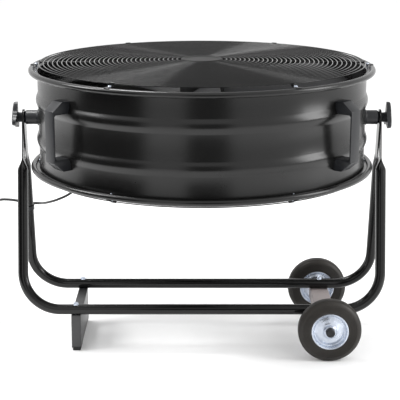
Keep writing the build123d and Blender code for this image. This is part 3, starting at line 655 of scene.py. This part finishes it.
# Guard clips: straps that hook over the outer ring, screwed to the rim
clip = {"width": 16, "sheet": 1.6, "count": 6, "screwAt": 470,
        "line": [(487, 145.4), (485, 146.3), (466, 146.3), (463.6, 147.3), (459.2, 151.2), (458.5, 154.6),
                 (459.4, 156.3), (461, 157), (462.8, 156.3)]}
strap = trace("strap", [at(x, -clip["width"] / 2, z) for x, z in clip["line"]])
extrudeBy(at(0, clip["width"], 0))
bpy.ops.mesh.select_all(action="SELECT")
bpy.ops.mesh.normals_make_consistent(inside=False)
closeEdit()
thicken(strap, clip["sheet"])
roundEdges(strap, 0.5, 2, 50)
sixth = [turn(360 / clip["count"] * i) for i in range(clip["count"])]
straps = copyTo("topGuardClips", strap, [liftDrum @ place for place in sixth])
lowerStraps = straps.copy()
lowerStraps.data = straps.data.copy()
lowerStraps.name = "bottomGuardClips"
scene.collection.objects.link(lowerStraps)
put(lowerStraps, flipDrum @ liftDrum.inverted())
dress(straps, "drum", paint["tubePaint"], ("top_guard_clips",))
dress(lowerStraps, "drum", paint["tubePaint"], ("bottom_guard_clips",))


def panScrew(name, radius, height, shank, length):  # head up along Z from its seat at zero, with a crossed recess
    outline = [(0, height), (radius * 0.45, height), (radius * 0.8, height * 0.86), (radius, height * 0.45),
               (radius, 0)]
    outline += [(shank, 0), (shank, -length + shank), (0, -length)]
    screw = lathe(name, outline, 24, closed=False)
    across = radius * 0.62
    slotA = block("slotA", (-across, -radius * 0.13, height * 0.5), (across, radius * 0.13, height * 1.2))
    slotB = block("slotB", (-radius * 0.13, -across, height * 0.45), (radius * 0.13, across, height * 1.25))
    cutOut(screw, slotA)
    return cutOut(screw, slotB)


screwPlaces = [place @ move(clip["screwAt"], 0, 147.1) for place in sixth]
guardScrews = copyTo(
    "guardScrews",
    panScrew("screw", 5, 3.4, 2.3, 18),
    [liftDrum @ p for p in screwPlaces] + [flipDrum @ p for p in screwPlaces],
)
dress(guardScrews, "drum", paint["zincPlate"], ("guard_screws",))
print("clips and guard screws made")

# Handles: bows of moulded plastic with chamfered corners and hollow feet
handle = {"angle": 39, "half": 93, "width": 42, "near": 459.5, "knee": 487.5, "far": 515.5, "chamferTo": 69,
          "strap": 4, "leg": 33, "wall": 2.5, "edge": 1.6, "notch": 4}


def makeHandle(name, angle):
    near, knee, far, half = handle["near"], handle["knee"], handle["far"], handle["half"]
    inside, low = far - handle["strap"], half - handle["leg"]
    slope, notch = handle["chamferTo"], handle["notch"]
    outline = [(near, -half), (knee, -half), (far, -slope), (far, slope), (knee, half), (near, half), (near, low),
               (inside - notch, low), (inside, low - notch), (inside, notch - low), (inside - notch, -low),
               (near, -low)]
    bow = slab(name, outline, -handle["width"] / 2, handle["width"] / 2)
    put(bow, turn(90, "X"))
    for side in (-1, 1):
        lowZ, highZ = sorted((side * (low + handle["wall"]), side * (half - handle["wall"])))
        reach = handle["width"] / 2 - handle["wall"]
        cutOut(bow, block("hollow", (near - 5, -reach, lowZ), (knee - 4, reach, highZ)))
    roundEdges(bow, handle["edge"], 3, 30)
    wall, reach = shell["radius"], 120
    drumCore = lathe("drumCore", [(0, -reach), (wall, -reach)] + wallOutline(wall) + [(wall, reach), (0, reach)], 180)
    cutOut(bow, drumCore)
    boss = lathe("boss", [(0, 465.8), (7, 465.8), (7, knee - 3), (0, knee - 3)], 32)
    put(boss, turn(90, "Y"))
    bosses = copyTo("bosses", boss, [move(0, 0, side * (half - handle["leg"] / 2)) for side in (-1, 1)])
    whole = join(name, [bow, bosses])
    return put(whole, liftDrum @ turn(angle))


for name, angle, node in (
    ("leftHandle", 180 + handle["angle"], "left_handle"),
    ("rightHandle", -handle["angle"], "right_handle"),
):
    dress(makeHandle(name, angle), "drum", paint["mouldedPlastic"], (node,), smooth=40)
print("handles made")

# Pivots: flanged sleeves on the wall, then the tilt knobs outside the legs
pivot = {"height": 665, "sleeve": 20.5, "flange": 24, "start": 465.6, "end": 507.8, "bore": 6.4}
outward = frameOf((0, 1, 0), (0, 0, 1), (1, 0, 0), (0, 0, pivot["height"]))
mirrorX = Matrix.Scale(-1, 4, (1, 0, 0))
sleeveOutline = [(pivot["bore"], pivot["start"]), (pivot["flange"], pivot["start"]),
                 (pivot["flange"], pivot["start"] + 4), (pivot["sleeve"] + 1, pivot["start"] + 5.4),
                 (pivot["sleeve"], pivot["start"] + 7),
                 (pivot["sleeve"], pivot["end"] - 5), (pivot["sleeve"] - 3.5, pivot["end"] - 1), (16, pivot["end"]),
                 (pivot["bore"], pivot["end"])]
for name, place, node in (
    ("rightSleeve", outward, "right_sleeve"),
    ("leftSleeve", mirrorX @ outward, "left_sleeve"),
):
    sleeve = put(roundEdges(lathe(name, sleeveOutline, 64), 0.5, 2, 30), place)
    dress(sleeve, "drum", paint["mouldedPlastic"], (node,))

knob = {"start": 514.8, "hub": 14.5, "plateAt": 528.8, "reach": 45, "valley": 21, "sharp": 2.3,
        "right": 90, "left": 75, "tipDrop": 4.2}


def makeKnob(name, angle):
    plate = add(name, bpy.ops.mesh.primitive_circle_add, vertices=120, radius=1, fill_type="NGON")
    edit(plate)
    bpy.ops.mesh.select_all(action="SELECT")

    def lobed(co):
        a = math.atan2(co.y, co.x)
        share = ((1 + math.cos(3 * a)) / 2) ** knob["sharp"]
        radius = knob["valley"] + (knob["reach"] - knob["valley"]) * share
        return at(radius * math.cos(a), radius * math.sin(a), 0)

    moveSelected(lobed)
    lastHeight, last = 0, 1.0
    for height, size in (
        (0.5, 1.0), (10.4, 0.985), (12.4, 0.965), (13.6, 0.925), (14.0, 0.87), (14.0, 0.46), (13.0, 0.42), (13.0, 0.2)
    ):
        extrudeBy(at(0, 0, height - lastHeight))
        bpy.ops.transform.resize(value=(size / last, size / last, 1), center_override=at(0, 0, height))
        last, lastHeight = size, height
    closeEdit()
    for vert in plate.data.vertices:
        reach = math.hypot(vert.co.x, vert.co.y) / (knob["reach"] * mm)
        if vert.co.z > 5 * mm:
            vert.co.z -= knob["tipDrop"] * mm * max(0, reach - 0.3) ** 1.4
        else:
            vert.co.z += 0.6 * mm * reach**2
    put(plate, move(0, 0, knob["plateAt"]))
    hubOutline = [(8, knob["start"]), (12.8, knob["start"]), (13.6, knob["start"] + 1),
                  (knob["hub"], knob["plateAt"] - 3), (17.5, knob["plateAt"] + 1),
                  (17.5, knob["plateAt"] + 3), (8, knob["plateAt"] + 3)]
    hub = lathe("hub", hubOutline, 48)
    cap = lathe("cap", [(0, 544.2), (4, 544.0), (6.5, 543.3), (7.6, 542.4), (7.8, 541), (0, 541)], 32)
    return put(join(name, [plate, hub, cap]), turn(angle))


for name, angle, place, body, node in (
    ("rightTiltKnob", knob["right"], outward, "right_knob", "right_tilt_knob"),
    ("leftTiltKnob", knob["left"], mirrorX @ outward, "left_knob", "left_tilt_knob"),
):
    dress(put(makeKnob(name, angle), place), body, paint["mouldedPlastic"], (node,), smooth=38)
for node in ("left_stud", "right_stud", "left_knob_insert", "right_knob_insert", "axle"):
    finishNode(node, paint["zincPlate"])
print("pivots and knobs made")

# Stand: two bent tubes whose ends are squeezed flat at the pivots
tube = {"radius": 15, "sides": 32, "half": 515, "bend": 107, "flareStart": 400.15, "flareEnd": 438.15, "length": 554.15,
        "flatWide": 23, "flatThin": 1.6, "spread": 120, "lift": 124, "rearFlat": 509.6, "frontFlat": 513}


def slotRing(side, flatX, share):  # the places of a ring's vertices, from round at 0 to a flat slot at 1
    centre = side * (tube["half"] + (flatX - tube["half"]) * share)
    power = 1 - 0.7 * share
    wide = tube["radius"] + (tube["flatWide"] - tube["radius"]) * share
    thin = tube["radius"] + (tube["flatThin"] - tube["radius"]) * share
    places = []
    for i in range(tube["sides"]):
        a = fullTurn * i / tube["sides"]
        x = math.copysign(abs(math.cos(a)) ** power, math.cos(a)) * thin
        z = math.copysign(abs(math.sin(a)) ** power, math.sin(a)) * wide
        places.append((centre + x, z))
    return places


def reshapeRing(side, before, after):  # moves each selected vertex from its place in one ring to the next ring's
    def place(co):
        x, z = co.x / mm, co.z / mm
        nearest = min(range(len(before)), key=lambda i: (before[i][0] - x) ** 2 + (before[i][1] - z) ** 2)
        return Vector((after[nearest][0] * mm, co.y, after[nearest][1] * mm))

    moveSelected(place)


def makeTube(name, side, flatX):
    half, bend = tube["half"], tube["bend"]
    pipe = add(
        name, bpy.ops.mesh.primitive_circle_add, vertices=tube["sides"], radius=tube["radius"] * mm,
        location=at(-half, tube["flareStart"], 0), rotation=(math.pi / 2, 0, 0),
    )
    edit(pipe)
    bpy.ops.mesh.select_all(action="SELECT")
    extrudeBy(at(0, bend - tube["flareStart"], 0))
    bpy.ops.mesh.spin(steps=20, angle=-math.pi / 2, center=at(bend - half, bend, 0), axis=(0, 0, 1))
    extrudeBy(at(2 * (half - bend), 0, 0))
    bpy.ops.mesh.spin(steps=20, angle=-math.pi / 2, center=at(half - bend, bend, 0), axis=(0, 0, 1))
    extrudeBy(at(0, tube["flareStart"] - bend, 0))
    rise = tube["flareEnd"] - tube["flareStart"]
    shares = spread(0, 1, 9)
    for end in (1, -1):
        pick("VERT", lambda co, normal: co.x * end > 0 and co.y > (tube["flareStart"] - 0.5) * mm)
        ring = slotRing(end, flatX, 0)
        for before, after in zip(shares, shares[1:]):
            extrudeBy(at(0, rise * (after - before), 0))
            nextRing = slotRing(end, flatX, ease(after))
            reshapeRing(end, ring, nextRing)
            ring = nextRing
        extrudeBy(at(0, tube["length"] - tube["flareEnd"], 0))
        lastHeight, lastWide = 0, 1.0
        for a in spread(0, 84, 8)[1:]:
            height, wide = tube["flatWide"] * math.sin(math.radians(a)), math.cos(math.radians(a))
            extrudeBy(at(0, height - lastHeight, 0))
            bpy.ops.transform.resize(value=(1, 1, wide / lastWide), center_override=at(end * flatX, 0, 0))
            lastHeight, lastWide = height, wide
        bpy.ops.mesh.edge_face_add()
    bpy.ops.mesh.select_all(action="SELECT")
    bpy.ops.mesh.normals_make_consistent(inside=False)
    closeEdit()
    up = Vector((0, -side * tube["spread"], pivot["height"] - tube["lift"])).normalized()
    along = Vector((1, 0, 0))
    return put(pipe, frameOf(along, up, along.cross(up), (0, side * tube["spread"], tube["lift"])))


for name, side, flatX, node in (
    ("frontFrameTube", -1, tube["frontFlat"], "front_frame_tube"),
    ("rearFrameTube", 1, tube["rearFlat"], "rear_frame_tube"),
):
    dress(makeTube(name, side, flatX), "stand", paint["tubePaint"], (node,), smooth=45)
print("frame tubes made")

# Channels under the tubes: folded sheet, open below, with closed ends
foot = {"x": -363, "width": 28, "length": 260, "low": 13, "top": 109, "sheet": 2.5}
axleChannel = {"x": 362, "width": 54, "length": 300, "low": 73, "top": 109, "sheet": 2.5}


def makeChannel(name, channel):
    halfX, halfY = channel["width"] / 2, channel["length"] / 2
    box = block(name, (channel["x"] - halfX, -halfY, channel["low"]), (channel["x"] + halfX, halfY, channel["top"]))
    edit(box)
    pick("EDGE", lambda middle, run: abs(run.z) > 0.01 or middle.z > (channel["top"] - 1) * mm)
    bpy.ops.mesh.bevel(offset=3.2 * mm, segments=4, profile=0.5)
    pick("FACE", lambda middle, normal: normal.z < -0.9)
    bpy.ops.mesh.delete(type="FACE")
    closeEdit()
    return thicken(box, channel["sheet"], offset=-1)


footPiece = makeChannel("footChannel", foot)
dress(footPiece, "stand", paint["footPaint"], ("foot_channel",), smooth=40)
axleHolder = makeChannel("axleChannel", axleChannel)
hole = add(
    "axleHole", bpy.ops.mesh.primitive_cylinder_add, vertices=40, radius=10.2 * mm, depth=0.32,
    location=at(axleChannel["x"], 0, 90), rotation=(math.pi / 2, 0, 0),
)
cutOut(axleHolder, hole)
dress(axleHolder, "stand", paint["channelPaint"], ("axle_channel",), smooth=40)

# Rubber feet with a ribbed sole
pad = {"width": 22.6, "length": 34, "end": 127.3, "height": 27}
padBlock = block("pad", (-pad["width"] / 2, 0, 0), (pad["width"] / 2, pad["length"], pad["height"]))
roundEdges(padBlock, 2, 3)
grooves = [block("groove", (-20, y, -1), (20, y + 2, 1.2)) for y in (6, 12, 18, 24)]
for groove in grooves:
    cutOut(padBlock, groove)
collar = block("collar", (-14, -2.7, 9.4), (14, pad["length"] + 1, 12.9))
roundEdges(collar, 1.2, 3)
padPiece = join("pad", [padBlock, collar])
footPads = copyTo("footPads", padPiece, [
    move(foot["x"], -pad["end"], 0),
    move(foot["x"], pad["end"], 0) @ turn(180),
])
dress(footPads, "stand", paint["footRubber"], ("foot_pads",), smooth=40)

# Hexagon bolts down through the tubes, with washers and nuts
bolt = {"head": 7.5, "height": 5.3, "washer": 8.6, "radius": 4, "seat": 139, "under": 106.5, "nut": 5}


def hexagon(name, radius, low, high, rounded):
    prism = add(
        name, bpy.ops.mesh.primitive_cylinder_add, vertices=6, radius=radius * mm, depth=(high - low) * mm,
        location=at(0, 0, (low + high) / 2),
    )
    roundEdges(prism, rounded, 2, 50)
    return prism


def makeBolt(name):
    head = hexagon("head", bolt["head"], bolt["seat"] + 1, bolt["seat"] + bolt["height"], 0.7)
    edit(head)
    pick("FACE", lambda middle, normal: normal.z > 0.9 and middle.z > (bolt["seat"] + 5) * mm)
    bpy.ops.mesh.inset(thickness=1.6 * mm)
    extrudeBy(at(0, 0, -0.5))
    closeEdit()
    washer = lathe("washer", [(bolt["radius"], bolt["seat"] - 0.6), (bolt["washer"], bolt["seat"] - 0.6),
                              (bolt["washer"], bolt["seat"] + 0.8), (bolt["washer"] - 0.5, bolt["seat"] + 1.1),
                              (bolt["radius"], bolt["seat"] + 1.1)], 32)
    shank = lathe("shank", [(0, bolt["under"] - 5.6), (bolt["radius"] - 0.8, bolt["under"] - 5.6),
                            (bolt["radius"], bolt["under"] - 4.8),
                            (bolt["radius"], bolt["seat"] + 2), (0, bolt["seat"] + 2)], 24, closed=False)
    nut = hexagon("nut", bolt["head"], bolt["under"] - bolt["nut"], bolt["under"] - 0.1, 0.6)
    return join(name, [head, washer, shank, nut])


for name, x, node in (
    ("footBolts", foot["x"], "foot_bolts"),
    ("axleChannelBolts", axleChannel["x"], "axle_channel_bolts"),
):
    bolts = copyTo(name, makeBolt("bolt"), [move(x, side * tube["spread"], 0) for side in (-1, 1)])
    dress(bolts, "stand", paint["zincPlate"], (node,), smooth=35)
print("channels, feet and bolts made")

# Wheels: grooved tyres on pressed zinc rims
wheel = {"x": 362, "height": 90, "track": 197, "half": 22, "radius": 90, "steps": 120}


def wheelPlace(side):
    outward = Vector((0, side, 0))
    across = Vector((1, 0, 0))
    return frameOf(across, outward.cross(across), outward, (wheel["x"], side * wheel["track"], wheel["height"]))


tyreOutline = [(47.6, 16.5), (52.2, 18.6), (53.4, 20.6), (55.6, 21.6), (58.4, 21.9), (59.4, 21.2), (60.4, 22.0)]
for i in range(6):
    start = 61.6 + i * 2.5
    tyreOutline += [(start, 22.0 - i * 0.12), (start + 1.1, 21.3 - i * 0.14), (start + 2.0, 22.0 - i * 0.15)]
tyreOutline += [(78.5, 20.6), (82.5, 18.4), (85.6, 15.6), (87.6, 12.8)]
for z in (10.5, 4.4):
    inward = 10.5 - z
    tyreOutline += [(89.2 + inward * 0.09, z + 1.6), (89.4 + inward * 0.09, z + 0.6), (87.2, z), (87.2, z - 1.0),
                    (89.5 + inward * 0.08, z - 1.6)]
tyreOutline += [(90, 0.6)]
tyreOutline += [(radius, -height) for radius, height in reversed(tyreOutline)]
rimOuter = [(13.2, 22), (16.8, 22), (17.6, 21.2), (17.9, 19), (18.8, 16.4), (21.5, 14.2), (25, 13.2),
            (33, 12.4), (36.5, 11.6), (39.5, 9.6), (42.5, 9.0), (44.8, 10.4), (46.2, 13.5), (47.2, 17.4),
            (48.6, 19.4), (50.6, 20.4), (52.4, 19.9), (52.9, 18.6),
            (51.8, 18.2), (50, 18.6), (48.4, 16.6), (47.4, 13.4)]
rimHalf = rimOuter + [(47.4, 0)]
rimWell = [(45.6, 0), (45.6, 9), (43.4, 7.4), (40.4, 7.4), (37, 9.8), (33.4, 10.8), (25, 11.4),
           (20.8, 12.2), (17.2, 14.6), (16.6, 10), (16.6, 0), (13.2, 0)]


def makeRim(name):
    half = lathe(name, rimHalf + rimWell, wheel["steps"])
    edit(half)
    pick("FACE", lambda middle, normal: abs(middle.z) < 0.01 * mm and abs(normal.z) > 0.9)
    bpy.ops.mesh.delete(type="FACE")
    closeEdit()
    otherHalf = half.copy()
    otherHalf.data = half.data.copy()
    scene.collection.objects.link(otherHalf)
    put(otherHalf, Matrix.Scale(-1, 4, (0, 0, 1)))
    rim = join(name, [half, otherHalf])
    edit(rim)
    bpy.ops.mesh.select_all(action="SELECT")
    bpy.ops.mesh.remove_doubles(threshold=0.01 * mm)
    closeEdit()
    return rim


for name, side in (("front", -1), ("rear", 1)):
    body = f"{name}_wheel"
    place = wheelPlace(side)
    tyre = put(lathe(f"{name}Tyre", tyreOutline, wheel["steps"]), place)
    dress(tyre, body, paint["tyreRubber"], (f"{name}_tyre",), smooth=28)
    rim = put(makeRim(f"{name}Rim"), place)
    dress(rim, body, paint["zincPlate"], (f"{name}_wheel_rim",), smooth=28)
    finishNode(f"{name}_wheel_bush", paint["mouldedPlastic"])

# Axle caps: black push-on caps with a slot
capOutline = [(10.1, 0.3), (12.6, 0.3), (12.6, 9.0), (12.2, 10.8), (11.2, 11.8), (9.2, 12.0), (7.6, 11.4), (0, 11.0),
              (0, 10.1), (10.1, 10.1)]
cap = lathe("cap", capOutline, 48)
cutOut(cap, block("slot", (-8, -1.1, 10.4), (8, 1.1, 13)))
roundEdges(cap, 0.25, 2, 50)
capPlaces = [wheelPlace(side) @ move(0, 0, wheel["half"]) @ turn(104) for side in (-1, 1)]
dress(copyTo("axleCaps", cap, capPlaces), "stand", paint["mouldedPlastic"], ("axle_caps",))
spacerOutline = [(10.3, 150.2), (14, 150.2), (14.4, 151), (14.4, 173.6), (14, 174.6), (10.3, 174.6)]
spacer = lathe("spacer", spacerOutline, 40)
onAxle = move(wheel["x"], 0, wheel["height"])
spacers = copyTo("wheelSpacers", spacer, [onAxle @ turn(side * 90, "X") for side in (-1, 1)])
dress(spacers, "stand", paint["zincPlate"], ("wheel_spacers",))
print("wheels made")

# Fan: three cambered blades on a domed hub
blades = {"count": 3, "root": 62.1, "tip": 455, "middle": 749, "rootChord": 132, "tipChord": 270,
          "rootPitch": 33, "tipPitch": 17, "camber": 9, "sheet": 3, "start": 20}


def makeBlade(name, angle):
    blade = add(name, bpy.ops.mesh.primitive_grid_add, x_subdivisions=20, y_subdivisions=16, size=1)
    for vert in blade.data.vertices:
        share, across = vert.co.x + 0.5, 2 * vert.co.y
        radius = blades["root"] + (blades["tip"] - blades["root"]) * share
        chord = blades["rootChord"] + (blades["tipChord"] - blades["rootChord"]) * share
        chord *= 1 - 0.08 * max(0, share - 0.75) ** 2 * 16 * across**2
        pitch = math.radians(blades["rootPitch"] + (blades["tipPitch"] - blades["rootPitch"]) * share)
        y = across * chord / 2 * math.cos(pitch)
        turned = math.asin(max(-0.97, min(0.97, y / radius)))
        lift = across * chord / 2 * math.sin(pitch) + blades["camber"] * (1 - across**2)
        vert.co = at(radius * math.cos(turned), radius * math.sin(turned), blades["middle"] + lift - 3)
    thicken(blade, blades["sheet"])
    roundEdges(blade, 1.2, 3, 50)
    return put(blade, turn(angle))


for index in range(blades["count"]):
    angle = 360 / blades["count"] * index + blades["start"]
    blade = makeBlade(f"fanBlade{index + 1}", angle)
    dress(blade, "fan", paint["bladeMetal"], (f"fan_blade_{index + 1}",), smooth=60)
hubOutline = [(8.2, 712), (62, 712), (62, 776), (61, 781), (58, 784.6), (53, 786), (30, 786), (27, 784), (20, 784),
              (18, 786), (11, 786.4), (8.5, 786.6), (8.2, 782)]
hubPiece = lathe("fanHub", hubOutline, 72)
boltHead = hexagon("hubBolt", 6.5, 786.2, 790, 0.5)
dress(join("fanHub", [hubPiece, boltHead]), "fan", paint["motorPaint"], ("fan_hub",))

# Motor and its mount keep their CAD shapes
for node in ("motor_rear_cap", "motor_case", "motor_front_cap", "front_motor_bar", "rear_motor_bar", "motor_plate"):
    finishNode(node, paint["motorPaint"])
finishNode("motor_stator", paint["statorSteel"])
for node in ("motor_shaft", "plate_bolts", "motor_bolts", "lid_screws", "wall_screws"):
    finishNode(node, paint["zincPlate"])
for node in ("switch_box", "switch_lid", "cord_clip", "speed_switch"):
    finishNode(node, paint["mouldedPlastic"])
print("fan and motor finished")

# Speed knob on the switch box, with a ring of plain marks round it
dial = {"angle": 130, "face": 472.5, "height": 670, "lid": 62.1, "radius": 17}
onLid = turn(dial["angle"]) @ move(dial["face"] + dial["lid"], 0, dial["height"])
onLid = onLid @ frameOf((0, 1, 0), (0, 0, 1), (1, 0, 0))
dialOutline = [(0, 13), (6, 13), (9, 12.2), (10.2, 10.5), (11.2, 5), (15.6, 4), (16.8, 3), (17, 0.6), (0, 0.6)]
dialKnob = lathe("speedKnob", dialOutline, 48, closed=False)
pointer = block("pointer", (-3.2, -14.2, 3), (3.2, 14.2, 16.2))
roundEdges(pointer, 1.4, 3)
speedKnob = put(join("speedKnob", [dialKnob, pointer]), onLid)
dress(speedKnob, "speed_knob", paint["mouldedPlastic"], ("speed_knob",))
mark = block("mark", (-0.7, 20, 0), (0.7, 25, 0.5))
marks = copyTo("dialMarks", mark, [onLid @ turn(a) for a in (0, -40, -80, -120)])
dress(marks, "drum", paint["zincPlate"])
print("switch box finished")

# Studio: a pale floor, a white surround, soft boxes and two dark cards that only the gloss mirrors
studio = {"floor": (0.93, 0.93, 0.93), "world": 1.08}
floor = add("floor", bpy.ops.mesh.primitive_plane_add, size=80, location=(0, 0, 0))
floorPaint = bpy.data.materials.new("floor")
floorPaint.use_nodes = True
floorShader = floorPaint.node_tree.nodes["Principled BSDF"]
floorShader.inputs["Base Color"].default_value = (*studio["floor"], 1)
floorShader.inputs["Roughness"].default_value = 0.9
floorShader.inputs["Specular IOR Level"].default_value = 0.1
floor.data.materials.append(floorPaint)
world = bpy.data.worlds.new("studio")
world.use_nodes = True
world.node_tree.nodes["Background"].inputs["Color"].default_value = (1, 1, 1, 1)
world.node_tree.nodes["Background"].inputs["Strength"].default_value = studio["world"]
scene.world = world
lamps = {
    "leftBox": {"at": (-2600, -300, 2300), "aim": (0, 0, 700), "size": (1.2, 1.2), "power": 60},
    "rightBox": {"at": (2600, -700, 1500), "aim": (0, 0, 600), "size": (0.9, 1.8), "power": 40},
    "topBox": {"at": (-1100, 500, 3200), "aim": (0, 0, 800), "size": (1.0, 1.0), "power": 70},
}
for name, lamp in lamps.items():
    data = bpy.data.lights.new(name, "AREA")
    data.shape = "RECTANGLE"
    data.size, data.size_y = lamp["size"]
    data.energy = lamp["power"]
    box = bpy.data.objects.new(name, data)
    scene.collection.objects.link(box)
    box.location = at(*lamp["at"])
    box.rotation_euler = (at(*lamp["aim"]) - at(*lamp["at"])).to_track_quat("-Z", "Y").to_euler()
# each shade: the bearings of the card's two ends in degrees, and how bright it is
card = {"away": 1800, "height": 1250, "shades": [(-82, -34, 0.0), (-9, 16, 0.12)]}
for number, (start, end, shade) in enumerate(card["shades"], 1):
    cover = bpy.data.materials.new(f"card{number}")
    cover.use_nodes = True
    glow = cover.node_tree.nodes.new("ShaderNodeEmission")
    glow.inputs["Color"].default_value = (shade, shade, shade, 1)
    coverOutput = cover.node_tree.nodes["Material Output"]
    cover.node_tree.links.new(glow.outputs["Emission"], coverOutput.inputs["Surface"])
    bearings = [math.radians(start), math.radians(end)]
    left, right = [at(card["away"] * math.sin(a), -card["away"] * math.cos(a), card["height"] / 2) for a in bearings]
    flag = add(f"card{number}", bpy.ops.mesh.primitive_plane_add, size=1)
    flag.location = (left + right) / 2
    flag.scale = ((right - left).length, card["height"] * mm, 1)
    flag.rotation_euler = (math.pi / 2, 0, sum(bearings) / 2)
    flag.data.materials.append(cover)
    flag.visible_camera = flag.visible_diffuse = flag.visible_shadow = False
scene.view_settings.view_transform = "Standard"
print("studio lit")
